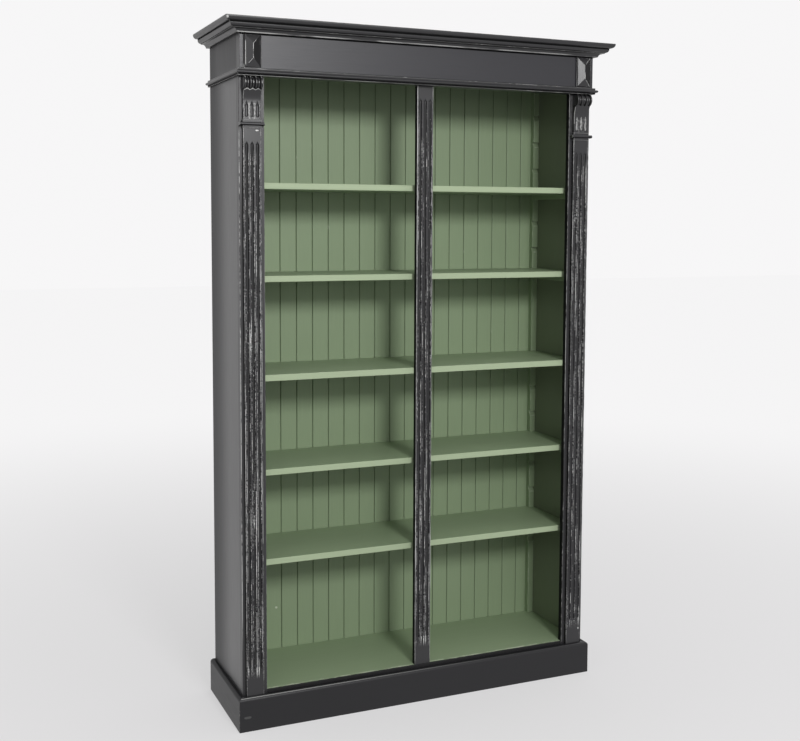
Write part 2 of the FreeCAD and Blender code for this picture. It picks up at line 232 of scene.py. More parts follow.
class Paint:
    """One painted material: a coat on planed wood, with brush marks along the grain."""

    def __init__(self, name, grain, gloss_roughness, shine=BLACK_SHINE):
        self.material = bpy.data.materials.new(name)
        self.material.use_nodes = True
        self.tree = self.material.node_tree
        self.tree.nodes.clear()
        self.grain = grain
        self.gloss_roughness = gloss_roughness
        self.shine = shine
        coordinates = self.tree.nodes.new("ShaderNodeTexCoord")
        self.place = coordinates.outputs["Object"]
        split = self.tree.nodes.new("ShaderNodeSeparateXYZ")
        self.tree.links.new(self.place, split.inputs[0])
        self.x, self.y, self.z = split.outputs
        facing = self.tree.nodes.new("ShaderNodeSeparateXYZ")
        self.tree.links.new(coordinates.outputs["Normal"], facing.inputs[0])
        self.facing_y = facing.outputs[ALONG_Y]
        self.arris = reads(self.tree, "arris")
        self.hollow = reads(self.tree, "hollow")

    def noise(self, length_scale, cross_scale, **options):
        return noise(self.tree, self.place, along(self.grain, length_scale, cross_scale),
                     **options)

    def spot(self, centre, radii):
        """1 inside a ragged spot about centre, 0 outside."""
        tree = self.tree
        apart = vectors(tree, "SUBTRACT", self.place, centre).outputs["Vector"]
        scaled = vectors(tree, "DIVIDE", apart, radii).outputs["Vector"]
        reach = vectors(tree, "LENGTH", scaled).outputs["Value"]
        ragged = noise(tree, self.place, (SPOT_STRETCH,) * 3, detail=2.0)
        return between(tree, sums(tree, "ADD", reach, ragged), SPOT_OUTSIDE, SPOT_INSIDE)

    def chipped(self, worn, chip):
        """Adds a bare spot, given as its centre and radii, to what is worn."""
        return worn if chip is None else greatest(self.tree, worn, self.spot(*chip))

    def coat(self, colour):
        """The colour with brush marks and slow unevenness."""
        tree = self.tree
        strokes = self.noise(9.0, 420.0, detail=4.0)
        clouds = noise(tree, self.place, (2.2, 2.2, 2.2), detail=2.0)
        shade = product(tree, sums(tree, "MULTIPLY_ADD", strokes, STREAK, 1.0 - STREAK / 2),
                        sums(tree, "MULTIPLY_ADD", clouds, CLOUD, 1.0 - CLOUD / 2))
        scaled = vectors(tree, "SCALE", colour)
        feed(tree, scaled.inputs["Scale"], shade)
        return scaled.outputs["Vector"]

    def finish(self, colour, worn=None, dull=None, relief=RELIEF):
        """The material of a coat that is rougher where it is worn or dull."""
        tree = self.tree
        shader = tree.nodes.new("ShaderNodeBsdfPrincipled")
        output = tree.nodes.new("ShaderNodeOutputMaterial")
        tree.links.new(shader.outputs[0], output.inputs["Surface"])
        shader.inputs["Specular IOR Level"].default_value = self.shine
        strokes = self.noise(14.0, 520.0, detail=3.0)
        fibres = self.noise(3.0, 150.0, detail=5.0, roughness=0.6)
        roughness = sums(tree, "MULTIPLY_ADD", strokes, ROUGHNESS_SWING,
                         self.gloss_roughness - ROUGHNESS_SWING / 2)
        height = sums(tree, "MULTIPLY_ADD", fibres, FIBRE_HEIGHT,
                      sums(tree, "MULTIPLY", strokes, STROKE_HEIGHT))
        if worn is not None:
            roughness = sums(tree, "MULTIPLY_ADD", worn, WORN_ROUGHNESS, roughness)
            height = sums(tree, "SUBTRACT", height, sums(tree, "MULTIPLY", worn, WORN_DEPTH))
        if dull is not None:
            roughness = sums(tree, "MULTIPLY_ADD", dull, DULL_ROUGHNESS, roughness)
        feed(tree, shader.inputs["Base Color"], colour)
        feed(tree, shader.inputs["Roughness"], roughness)
        bump = tree.nodes.new("ShaderNodeBump")
        bump.inputs["Strength"].default_value = 1.0
        bump.inputs["Distance"].default_value = relief
        tree.links.new(height, bump.inputs["Height"])
        tree.links.new(bump.outputs["Normal"], shader.inputs["Normal"])
        return self.material


# Black paint

def rubbed_arrises(paint, amount, arris_line=0.0):
    """Lines along the arrises, partly worn paint and partly painted highlight, and patches where
    the paint is rubbed off.
    """
    tree = paint.tree
    patches = paint.noise(22.0, 60.0, detail=4.0, roughness=0.65)
    bare = between(tree, patches, 0.66 - amount, 0.78 - amount)
    return product(tree, paint.arris, sums(tree, "MULTIPLY_ADD", bare, 0.8 - arris_line, arris_line))


def painted_hollow_shade(paint):
    """Painted shade: how dark a place is painted from how hollow the mesh says it is."""
    return between(paint.tree, paint.hollow, 0.10, 0.4)


def black_finish(paint, worn, dark=None, relief=RELIEF, black=BLACK, under=UNDERCOAT):
    """Black paint, painted darker and duller as shade in hollows, bare where it is worn."""
    tree = paint.tree
    colour = black if dark is None else blend(tree, dark, black, SHADE_AND_EDGE_BLACK)
    colour = blend(tree, worn, paint.coat(colour), under)
    return paint.finish(colour, worn, dark, relief)


def black_paint(name, grain, amount, arris_line, shine=BLACK_SHINE):
    paint = Paint(name, grain, BLACK_ROUGHNESS, shine)
    return black_finish(paint, rubbed_arrises(paint, amount, arris_line), painted_hollow_shade(paint))


def matt_paint(name, grain, shine, colour):
    """Matt near-black paint: painted shade deep in hollows and on faces that lie in shade."""
    paint = Paint(name, grain, MATT_ROUGHNESS, shine)
    return paint.finish(paint.coat(colour))


def moulding_paint(name, foot, high, left_only, end, chip=None):
    """Black paint with a pale line along the front of the lowest part of a moulding, partly worn
    paint and partly a painted highlight.

    The line is high metres wide, fades to the right by left_only, and stops at x = end.
    """
    paint = Paint(name, ALONG_X, BLACK_ROUGHNESS)
    tree = paint.tree
    along_it = between(tree, paint.noise(7.0, 30.0, detail=3.0), 0.36, 0.54)
    leftward = sums(tree, "MULTIPLY_ADD", between(tree, paint.x, 0.3, -0.5), left_only,
                    1.0 - left_only)
    line = product(tree, between(tree, paint.z, foot + high + 0.0004, foot + high - 0.0004),
                   between(tree, paint.facing_y, -0.1, -0.4), along_it, leftward,
                   between(tree, paint.x, end, end - 0.05), 0.75)
    worn = greatest(tree, rubbed_arrises(paint, 0.14, 0.2), line)
    return black_finish(paint, paint.chipped(worn, chip), painted_hollow_shade(paint))


def plinth_paint(name):
    """Black paint with a painted highlight along the crest, most at the left, worn arrises and a
    smudge.
    """
    paint = Paint(name, ALONG_X, BLACK_ROUGHNESS, shine=0.34)
    tree = paint.tree
    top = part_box("plinth_front")[1].z
    leftward = sums(tree, "MULTIPLY_ADD", between(tree, paint.x, 0.4, -0.6), 0.45, 0.05)
    crest_highlight = product(tree, between(tree, paint.z, top - 0.0026, top - 0.0018),
                    between(tree, paint.facing_y, -0.2, -0.5), leftward)
    smudge = product(tree, paint.spot((-0.6104, -0.1605, 0.0462), (0.012, 0.01, 0.004)), 0.1)
    return black_finish(paint, greatest(tree, rubbed_arrises(paint, 0.1, 0.1), crest_highlight, smudge))


def frieze_paint():
    """Bluish black paint, brushed along the board."""
    paint = Paint("frieze_paint", ALONG_X, BLACK_ROUGHNESS)
    return black_finish(paint, rubbed_arrises(paint, 0.0), relief=BRUSHED_RELIEF,
                        black=BLUE_BLACK)


def flute_distances(paint, centre):
    """How far a place is from a flute's axis, from a flute's arris and from centre."""
    tree = paint.tree
    over = sums(tree, "SUBTRACT", paint.x, centre)
    turns = sums(tree, "DIVIDE", over, FLUTE_SPACING)
    nearest = sums(tree, "SUBTRACT", turns, sums(tree, "ROUND", turns))
    from_axis = sums(tree, "MULTIPLY", sums(tree, "ABSOLUTE", nearest), FLUTE_SPACING)
    from_arris = sums(tree, "ABSOLUTE", sums(tree, "SUBTRACT", from_axis, FLUTE_HALF))
    return from_axis, from_arris, sums(tree, "ABSOLUTE", over)


def rub_score(paint, shift, lower, gain):
    """How rubbed a place is: long strokes broken into specks, in busy and quiet zones."""
    tree = paint.tree
    moved = (0.0, 0.0, shift)
    strokes = paint.noise(22.0, 640.0, detail=2.0, roughness=0.5, shift=moved)
    specks = paint.noise(150.0, 900.0, detail=2.0, roughness=0.6, shift=moved)
    zone = paint.noise(5.0, 60.0, detail=1.0, shift=moved)
    score = sums(tree, "MULTIPLY_ADD", strokes, 0.45, sums(tree, "MULTIPLY", specks, 0.45))
    score = sums(tree, "MULTIPLY_ADD", zone, 0.30, score)
    return sums(tree, "MULTIPLY_ADD", lower, gain, score)


def fluted_paint(name, centre, half, low, high, shift, spare, gain, rim, flute_shade, chip=None):
    """Black paint rubbed through in fine dashes along three flutes about centre.

    The noise is moved by shift. Less is rubbed where spare is high, gain adds to it lower
    down, and rim is how much the paint is worn on the outer arrises. The insides of the
    flutes are painted darker as shade, by the number after rim lower down.
    """
    paint = Paint(name, ALONG_Z, BLACK_ROUGHNESS)
    tree = paint.tree
    from_axis, from_arris, off_centre = flute_distances(paint, centre)
    lower = between(tree, paint.z, high - 0.2, low + 0.2)
    above_foot = between(tree, paint.z, low - 0.03, low)
    # Painted shade: the insides of the flutes are darkened and dulled
    hollow = product(tree, between(tree, from_axis, FLUTE_HALF, FLUTE_HALF - 0.0015),
                     between(tree, off_centre, 1.5 * FLUTE_SPACING, 1.4 * FLUTE_SPACING),
                     above_foot, between(tree, paint.z, high, high - 0.02),
                     sums(tree, "MULTIPLY_ADD", lower, flute_shade - 1.0, 1.0))
    score = rub_score(paint, shift, lower, gain)

    def scores(least):
        return between(tree, score, least + spare, least + RUB_STEP + spare)

    line = product(tree, between(tree, from_arris, 0.0014, 0.0010), scores(0.605))
    broad = product(tree, between(tree, from_arris, 0.0021, 0.0014), scores(0.710))
    scratch = scores(0.745)
    bare = product(tree, greatest(tree, line, broad, scratch), above_foot,
                   between(tree, paint.z, high - 0.02, high - 0.07))
    edge = product(tree, paint.arris, between(tree, off_centre, half - 0.003, half - 0.002),
                   sums(tree, "MULTIPLY_ADD", between(tree, score, 0.60, 0.63), 0.7, rim),
                   between(tree, paint.z, low - 0.12, low))
    worn = paint.chipped(greatest(tree, bare, edge), chip)
    return black_finish(paint, worn, hollow, under=PALE_UNDERCOAT)


def stile_paint(name, side, inner_rim):
    """Black paint, rubbed through along the arrises and beside the capital, and painted darker as
    shade beside the pilaster lower down.
    """
    paint = Paint(name, ALONG_Z, BLACK_ROUGHNESS)
    tree = paint.tree
    out = sums(tree, "MULTIPLY", paint.x, side)
    front = between(tree, paint.facing_y, -0.5, -0.8)
    specks = paint.noise(60.0, 700.0, detail=3.0, roughness=0.65)
    zone = paint.noise(3.0, 10.0, detail=2.0)
    broken = sums(tree, "ADD", sums(tree, "MULTIPLY", specks, 0.55),
                  sums(tree, "MULTIPLY", zone, 0.45))
    outer = product(tree, between(tree, out, STILE_EDGE - 0.0024, STILE_EDGE - 0.0016), front,
                    between(tree, broken, 0.43, 0.51),
                    between(tree, paint.z, 0.20, 0.45),
                    between(tree, paint.z, CAPITAL_LOW.z - 0.02, CAPITAL_LOW.z - 0.05))
    rim = product(tree, paint.arris, between(tree, out, PILASTER_LOW.x, PILASTER_LOW.x - 0.004),
                  between(tree, broken, 0.46, 0.54), inner_rim)
    inner = product(tree, front, between(tree, out, PILASTER_LOW.x, PILASTER_LOW.x - 0.001),
                    between(tree, paint.z, CAPITAL_LOW.z - 0.002, CAPITAL_LOW.z + 0.004),
                    between(tree, specks, 0.46, 0.58), 0.08)
    off_centre = sums(tree, "ABSOLUTE", sums(tree, "SUBTRACT", out, PILASTER_CENTRE))
    beside = sums(tree, "SUBTRACT", off_centre, PILASTER_HALF)
    # Painted shade: darker beside the pilaster, lower down
    dark = product(tree, between(tree, beside, 0.008, 0.001),
                   between(tree, paint.z, CAPITAL_LOW.z - 0.1, CAPITAL_LOW.z - 0.3))
    return black_finish(paint, greatest(tree, outer, rim, inner), dark)


def capital_paint(name):
    """Black paint, pale where the mesh marks wear and painted highlights, and painted darker as
    shade where it marks hollows.
    """
    paint = Paint(name, ALONG_Z, CARVED_ROUGHNESS)
    tree = paint.tree
    specks = paint.noise(110.0, 480.0, detail=2.0, roughness=0.5)
    weight = sums(tree, "ADD", reads(tree, "pale_amount"), specks)
    bare = product(tree, between(tree, weight, 0.90, 1.25), 0.8)
    return black_finish(paint, bare, paint.hollow)


def left_boss_wear(tree, paint, low, over, up, patches):
    """Bare lower left and upper right hips, and the bare foot along the boss's left."""
    low_hip = product(tree, between(tree, over, -0.001, -0.003),
                      between(tree, up, -0.018, -0.022), between(tree, up, -0.038, -0.034))
    high_hip = product(tree, between(tree, over, 0.001, 0.003),
                       between(tree, up, 0.018, 0.022), between(tree, up, 0.034, 0.030))
    foot = product(tree, between(tree, paint.x, low.x + 0.0030, low.x + 0.0022),
                   between(tree, up, 0.034, 0.024), between(tree, up, -0.044, -0.038),
                   between(tree, patches, 0.36, 0.46), 0.8)
    return greatest(tree, low_hip, product(tree, high_hip, 0.8)), foot


def boss_paint(side, node):
    """Black paint rubbed on the boss's ridge and hips, on the left one also along its foot."""
    paint = Paint("corner_boss_paint_" + side, ALONG_Z, BLACK_ROUGHNESS)
    tree = paint.tree
    low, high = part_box(node)
    middle = (low + high) / 2
    over = sums(tree, "SUBTRACT", paint.x, middle.x)
    up = sums(tree, "SUBTRACT", paint.z, middle.z)
    apart = sums(tree, "ABSOLUTE", up)
    ridge = product(tree, between(tree, sums(tree, "ABSOLUTE", over), 0.003, 0.0015),
                    between(tree, apart, 0.030, 0.018))
    patches = paint.noise(40.0, 120.0, detail=3.0, roughness=0.6)
    if side == "left":
        hips, foot = left_boss_wear(tree, paint, low, over, up, patches)
    else:
        hips = product(tree, between(tree, over, 0.003, 0.006), between(tree, apart, 0.022, 0.028))
        foot = 0.0
    pale_amount = greatest(tree, product(tree, ridge, 0.22), product(tree, hips, 0.34))
    bare = between(tree, sums(tree, "ADD", patches, pale_amount), 0.62, 0.74)
    return black_finish(paint, greatest(tree, product(tree, paint.arris, bare), foot))


def side_paint(name):
    """Black outside and on the edges; the face that looks into the bookcase is a darker green,
    painted shade.
    """
    paint = Paint(name, ALONG_Z, SIDE_ROUGHNESS, shine=0.70)
    tree = paint.tree
    inside = between(tree, sums(tree, "ABSOLUTE", paint.x), INNER_FACE + 0.0006,
                     INNER_FACE + 0.0002)
    worn = rubbed_arrises(paint, 0.06)
    near_back = between(tree, paint.y, -0.02, 0.19)
    near_top = product(tree, between(tree, paint.z, 2.0, 2.08), 0.7)
    # Painted shade: the inner face takes a darker green than the rest of the inside
    colour = blend(tree, inside, BLACK, SHADED_SIDE_GREEN)
    colour = blend(tree, worn, paint.coat(colour), UNDERCOAT)
    return paint.finish(colour, worn, greatest(tree, near_back, near_top))


# Green paint

def green_paint(name, grain, amount=0.16, arris_line=0.15, chip=None):
    """Sage green, painted lighter on the front edges as painted light, and paler where the arrises
    are rubbed.
    """
    paint = Paint(name, grain, GREEN_ROUGHNESS, GREEN_SHINE)
    tree = paint.tree
    # Painted light: faces that look to the front, near the front, take a lighter green
    edge = product(tree, between(tree, paint.facing_y, -0.6, -0.9),
                   between(tree, paint.y, 0.1, 0.0))
    colour = blend(tree, edge, GREEN, LIT_EDGE_GREEN)
    worn = paint.chipped(rubbed_arrises(paint, amount, arris_line), chip)
    colour = blend(tree, worn, paint.coat(colour), RUBBED_GREEN)
    return paint.finish(colour, worn)


def floor_board_paint(name):
    """Green board whose front edge is black, with a pale, uneven line between the two."""
    paint = Paint(name, ALONG_X, GREEN_ROUGHNESS, GREEN_SHINE)
    tree = paint.tree
    wander = paint.noise(60.0, 60.0, detail=3.0)
    line = sums(tree, "MULTIPLY_ADD", wander, 0.006, FLOOR_EDGE + 0.0004)
    depth = sums(tree, "SUBTRACT", paint.y, line)
    edge = between(tree, depth, 0.0003, -0.0003)
    pale = product(tree, between(tree, depth, 0.010, 0.007),
                   between(tree, paint.noise(30.0, 200.0, detail=3.0), 0.44, 0.56))
    colour = blend(tree, pale, GREEN, RUBBED_GREEN)
    colour = blend(tree, edge, colour, SHADE_AND_EDGE_BLACK)
    return paint.finish(paint.coat(colour), dull=edge)


# Pieces

def surroundings():
    """All the solids at rest, for feeling how hollow a place is."""
    points, faces = [], []
    for piece in frame["nodes"].values():
        first = len(points)
        points += [v.co.copy() for v in piece.data.vertices]
        faces += [[first + i for i in face.vertices] for face in piece.data.polygons]
    return BVHTree.FromPolygons(points, faces)


def feelers():
    """Directions spread over a half ball about +Z, closer together near the middle."""
    golden = math.pi * (3.0 - math.sqrt(5.0))
    directions = []
    for i in range(FEELERS):
        sine = math.sqrt((i + 0.5) / FEELERS)
        directions.append(Vector((sine * math.cos(i * golden), sine * math.sin(i * golden),
                                  math.sqrt(1.0 - sine * sine))))
    return directions


solids = surroundings()
half_ball = feelers()


def hollowness(face):
    """Share of feelers from a narrow face that soon meet something, where it isn't covered."""
    longest = max(face.edges, key=lambda e: e.calc_length())
    if face.calc_area() > NARROW * longest.calc_length():
        return 0.0
    run = longest.verts[1].co - longest.verts[0].co
    middle = face.calc_center_median()
    turn = face.normal.to_track_quat("Z", "X")
    shares = []
    for part in FEELER_PLACES:
        start = middle + part * run + face.normal * FEELER_START
        hits = [solids.ray_cast(start, turn @ direction, FEELER)[1] for direction in half_ball]
        covered = hits[0] is not None and hits[0].dot(turn @ half_ball[0]) > 0.0
        if not covered:
            shares.append(sum(hit is not None for hit in hits) / FEELERS)
    return sum(shares) / len(shares) if shares else 0.0


def settled(name, mesh, materials, body, nodes):
    """Makes a mesh the object that stands for its nodes and rides on their body."""
    piece = bpy.data.objects.new(name, mesh)
    bpy.context.scene.collection.objects.link(piece)
    weighted = piece.modifiers.new("weighted", "WEIGHTED_NORMAL")
    weighted.keep_sharp = True
    for material in materials:
        mesh.materials.append(material)
    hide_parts(*nodes)
    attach(piece, body)


def sunk(work, cuts, inside, depth):
    """Sinks the front between cuts, given as (axis, place), where inside says so, and gives the
    sunk faces the dark matt paint as painted shade.
    """
    for axis, place in cuts:
        point, normal = Vector((0.0, 0.0, 0.0)), Vector((0.0, 0.0, 0.0))
        point[axis], normal[axis] = place, 1.0
        bmesh.ops.bisect_plane(work, geom=work.verts[:] + work.edges[:] + work.faces[:],
                               dist=SAME_PLACE, plane_co=point, plane_no=normal)
    work.normal_update()
    picked = [f for f in work.faces
              if f.normal.y < TURNED_TO_FRONT and inside(f.calc_center_median())]
    front = min(v.co.y for f in picked for v in f.verts)
    result = bmesh.ops.extrude_face_region(work, geom=picked)
    bmesh.ops.delete(work, geom=picked, context="FACES")
    floor = [v for v in result["geom"] if isinstance(v, bmesh.types.BMVert)]
    bmesh.ops.translate(work, verts=floor, vec=(0.0, depth, 0.0))
    work.normal_update()
    for face in work.faces:
        middle = face.calc_center_median()
        if inside(middle) and middle.y < front + 1.1 * depth:
            face.material_index = 1


def open_joint(boss=None):
    """Cuts and test for the joints along the top and foot of the frieze, and round a boss."""
    foot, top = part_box("architrave_front")[1].z + JOINT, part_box("crown_front")[0].z - TOP_JOINT
    if boss is None:
        return [(ALONG_Z, foot), (ALONG_Z, top)], lambda place: not foot < place.z < top
    low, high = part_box(boss)
    cuts = [(ALONG_Z, top)]

    def inside(place):
        over = max(low.x - place.x, place.x - high.x, low.z - place.z, place.z - high.z)
        return place.z > top or -JOINT_SLACK < over < JOINT + JOINT_SLACK

    for axis, start, end in ((ALONG_X, low.x, high.x), (ALONG_Z, low.z, high.z)):
        cuts += [(axis, start - JOINT), (axis, start), (axis, end), (axis, end + JOINT)]
    return cuts, inside


def dressed(node, material, body, turn=SHARP_TURN, recess=None, joint=None, matt=None):
    """Stands the node's own form with rounded arrises for it.

    Hollow faces, and those that matt picks, take the paint recess, a dark matt painted shade. A
    joint is sunk into it.
    """
    mesh = bpy.data.meshes.new(node + "_dressed")
    work = bmesh.new()
    work.from_mesh(frame["nodes"][node].data)
    bmesh.ops.remove_doubles(work, verts=work.verts, dist=SAME_PLACE)
    bmesh.ops.dissolve_limit(work, angle_limit=FLAT_TURN, verts=work.verts, edges=work.edges)
    arris = [e for e in work.edges
             if e.is_manifold and e.is_convex and e.calc_face_angle(0.0) > turn]
    rounded = work.faces.layers.float.new("arris")
    hollow = work.faces.layers.float.new("hollow")
    result = bmesh.ops.bevel(work, geom=arris, offset=ARRIS, offset_type="OFFSET", segments=2,
                             profile=0.5, affect="EDGES", clamp_overlap=True)
    for face in result["faces"]:
        face[rounded] = 1.0
    # Where an arris had no room to be rounded, its corners lie in one place
    bmesh.ops.remove_doubles(work, verts=work.verts, dist=SAME_PLACE)
    if recess is not None:
        work.normal_update()
        for face in work.faces:
            if face[rounded] == 0.0 and face.calc_area() > 0.0:
                face[hollow] = hollowness(face)
                is_matt = matt is not None and matt(face.normal, face.calc_center_median())
                face.material_index = int(face[hollow] > DEEP or is_matt)
    if joint is not None:
        sunk(work, *joint, JOINT_DEPTH)
    work.to_mesh(mesh)
    work.free()
    mesh.shade_smooth()
    mesh.set_sharp_from_angle(angle=min(SMOOTH_TURN, turn))
    materials = [material] + ([recess] if recess is not None else [])
    settled(node + "_dressed", mesh, materials, body, [node])


# Capital: a block with three gouges, whose neck flares out to a grooved roll

ROLL_RADIUS = 0.021
ROLL_SWING = 0.0042
ROLL_HALF = (CAPITAL_HIGH.x - CAPITAL_LOW.x) / 2
ROLL_Y = CAPITAL_LOW.y + ROLL_RADIUS
ROLL_Z = CAPITAL_HIGH.z - ROLL_RADIUS
ROLL_END = 0.002
ROLL_END_EASE = 0.0012
ROLL_STEPS = 104
ROLL_TURNS = 30
NECK_HEIGHT = 0.0325
NECK_OUT = 0.010
NECK_SAG = 0.0024
NECK_TOP = CAPITAL_HIGH.z - 2 * ROLL_RADIUS
NECK_LOW = NECK_TOP - NECK_HEIGHT
GOUGE_LENGTH = 0.048
GOUGE_TIP = 0.014
GOUGE_DEPTH = 0.85
GOUGE_FOOT = CAPITAL_LOW.z + 0.008
GOUGE_TOP = GOUGE_FOOT + GOUGE_LENGTH
BLOCK_EASE = 0.0012
BLOCK_COLUMNS = 84
BLOCK_ROWS = 124


def roll_radius(x):
    """Radius of the roll, grooved in line with the gouges and eased at its ends."""
    past = max(0.0, abs(x) - ROLL_HALF + ROLL_END) / ROLL_END
    return (ROLL_RADIUS - ROLL_SWING * 0.5 * (1 + math.cos(2 * math.pi * x / FLUTE_SPACING))
            - ROLL_END_EASE * past ** 2)


def block_front(z):
    """Place in depth of the block's front, and of the hollowed neck above it."""
    if z <= NECK_LOW:
        return PILASTER_LOW.y
    share = min(1.0, (z - NECK_LOW) / NECK_HEIGHT)
    return PILASTER_LOW.y - NECK_OUT * share + 4 * NECK_SAG * share * (1 - share)


def off_gouge(x):
    """How far right of the nearest gouge's axis a place is."""
    return x - FLUTE_SPACING * max(-1, min(1, round(x / FLUTE_SPACING)))


def gouge(x, z):
    """Depth of a gouge at a place, and its half width there."""
    rise = z - GOUGE_FOOT
    if not 0.0 < rise < GOUGE_LENGTH:
        return 0.0, 0.0
    foot = math.sqrt(max(0.0, 1 - max(0.0, 1 - rise / FLUTE_HALF) ** 2))
    tip = min(1.0, (GOUGE_LENGTH - rise) / GOUGE_TIP) ** 0.8
    reach = FLUTE_HALF * min(foot, tip)
    across = abs(off_gouge(x))
    depth = math.sqrt(reach ** 2 - across ** 2) * GOUGE_DEPTH if across < reach else 0.0
    return depth, reach


def shade_share(steepness):
    """How dark the side of a gouge or groove is painted, as shade."""
    return min(1.0, max(0.0, steepness - 0.25) * 1.6)


def block_wear(side, x, z):
    """How rubbed the capital's block is at a place on its front, and how dark it is painted there
    as shade.
    """
    pale_amount = hollow = 0.0
    under_roll = ROLL_Z - math.sqrt(max(0.0, roll_radius(x) ** 2
                                        - (ROLL_Y - block_front(z)) ** 2))
    if (side < 0 and under_roll - 0.0018 < z < under_roll + 0.0004
            and abs(x) < PILASTER_HALF - 0.001):
        pale_amount = 0.86 - 0.2 * (x / PILASTER_HALF + 1)
    depth, reach = gouge(x, z)
    near = off_gouge(x)
    if depth > 0.0:
        hollow = shade_share(abs(near) / reach)
        pale_amount = 0.60 if side > 0 and near > -0.2 * reach else 0.0
    elif CAPITAL_LOW.z + 0.003 < z < GOUGE_TOP - 0.006:
        on_ridge = abs(abs(x) - FLUTE_SPACING / 2) < 0.003
        pale_amount = (0.30 if side > 0 else 0.44) + (0.12 if on_ridge else 0.0)
    if abs(x) > PILASTER_HALF - BLOCK_EASE and z < NECK_TOP - 0.003:
        left_arris = x < 0.0 and z > CAPITAL_LOW.z + 0.03
        pale_amount = (0.8 if side > 0 else 0.6) if left_arris else 0.3
    return pale_amount, hollow


def carve_block(work, pale_amount, hollow, side, centre):
    """Block and neck up to the axis of the roll, in rows of places round its outline."""
    flat = PILASTER_HALF - BLOCK_EASE
    back = CAPITAL_HIGH.y
    columns = [flat * (2 * i / BLOCK_COLUMNS - 1) for i in range(BLOCK_COLUMNS + 1)]
    corner = [(flat + BLOCK_EASE * math.sin(t), BLOCK_EASE * (1 - math.cos(t)))
              for t in (math.radians(30), math.radians(60), math.radians(90))]
    across = [(-x, y) for x, y in reversed(corner)] + [(x, 0.0) for x in columns] + corner
    grid = []
    for i in range(BLOCK_ROWS + 1):
        z = CAPITAL_LOW.z + (ROLL_Z - CAPITAL_LOW.z) * i / BLOCK_ROWS
        line = [work.verts.new((centre + x, block_front(z) + y + gouge(x, z)[0], z))
                for x, y in across]
        line += [work.verts.new((centre + PILASTER_HALF, back, z)),
                 work.verts.new((centre - PILASTER_HALF, back, z))]
        grid.append(line)
    count = len(grid[0])
    right_side, back_side = count - 3, count - 2
    for i in range(BLOCK_ROWS):
        for j in range(count):
            k = (j + 1) % count
            face = work.faces.new((grid[i][j], grid[i][k], grid[i + 1][k], grid[i + 1][j]))
            # Painted shade: the block's flanks are dark
            if j >= right_side:
                face[hollow] = 1.0 if j != back_side else 0.0
            else:
                middle = face.calc_center_median()
                face[pale_amount], face[hollow] = block_wear(side, middle.x - centre, middle.z)
    work.faces.new(list(reversed(grid[0])))
    work.faces.new(grid[-1])


def carve_roll(work, pale_amount, hollow, side, centre):
    """Roll, round from its top to the underside, with its flat back in the stile."""
    back = CAPITAL_HIGH.y
    places = [2 * ROLL_HALF * (i / ROLL_STEPS - 0.5) for i in range(ROLL_STEPS + 1)]
    rings = []
    for x in places:
        radius = roll_radius(x)
        ring = [work.verts.new((centre + x, back, ROLL_Z + radius))]
        for i in range(ROLL_TURNS + 1):
            angle = math.pi / 2 + math.pi * i / ROLL_TURNS
            ring.append(work.verts.new((centre + x, ROLL_Y + radius * math.cos(angle),
                                        ROLL_Z + radius * math.sin(angle))))
        ring.append(work.verts.new((centre + x, back, ROLL_Z - radius)))
        rings.append(ring)
    count = len(rings[0])
    for i in range(ROLL_STEPS):
        slope = abs(math.sin(2 * math.pi * (places[i] + places[i + 1]) / 2 / FLUTE_SPACING))
        for j in range(count):
            k = (j + 1) % count
            face = work.faces.new((rings[i][j], rings[i][k], rings[i + 1][k], rings[i + 1][j]))
            # Painted shade: the grooves' steep sides are darker, the steepest in the dark matt
            # paint
            face[hollow] = shade_share(slope)
            face.material_index = int(slope > 0.8)
            # Painted highlights: pale spots on the ridges and troughs about the roll's middle
            # height, and near its top on the left
            up = face.calc_center_median().z - ROLL_Z
            if slope < 0.4 and (abs(up - 0.002) < 0.004 or (side < 0 and up > 0.0145)):
                face[pale_amount] = 0.62 if side < 0 else 0.42
    work.faces.new(list(reversed(rings[0])))
    work.faces.new(rings[-1])


def capital_mesh(side):
    """Carved capital of the left side, -1, or the right side, 1."""
    centre = side * (CAPITAL_LOW.x + CAPITAL_HIGH.x) / 2
    work = bmesh.new()
    pale_amount = work.faces.layers.float.new("pale_amount")
    hollow = work.faces.layers.float.new("hollow")
    carve_block(work, pale_amount, hollow, side, centre)
    carve_roll(work, pale_amount, hollow, side, centre)
    bmesh.ops.recalc_face_normals(work, faces=work.faces)
    mesh = bpy.data.meshes.new("capital_carved")
    work.to_mesh(mesh)
    work.free()
    mesh.shade_smooth()
    mesh.set_sharp_from_angle(angle=CARVED_SMOOTH_TURN)
    return mesh


# Paints of the pieces. A chip is a bare spot: its centre and radii.

plain_black = [black_paint("black_paint_" + axis, i, amount=0.12, arris_line=0.04)
               for i, axis in enumerate("xyz")]
crest_black = [black_paint("black_moulding_" + axis, i, amount=0.14, arris_line=0.2)
               for i, axis in enumerate("xyz")]
plain_green = [green_paint("green_paint_" + axis, i) for i, axis in enumerate("xyz")]
# Dark matt paints are painted shade: in hollows and joints, on flanks and undersides, and on the
# bosses' right facets
recess = matt_paint("black_paint_recess", ALONG_X, 0.12, SHADE_AND_EDGE_BLACK)
shaded_facet = matt_paint("black_paint_sheltered", ALONG_X, 0.3, SHADE_AND_EDGE_BLACK)
green_recess = matt_paint("green_paint_recess", ALONG_Z, 0.1, SHADE_GREEN)
collar_black = black_paint("collar_paint", ALONG_X, amount=0.14, arris_line=0.4)
sides = side_paint("side_panel_paint")
flutes_low = PILASTER_LOW.z + 0.082
flutes_high = PILASTER_HIGH.z - 0.040

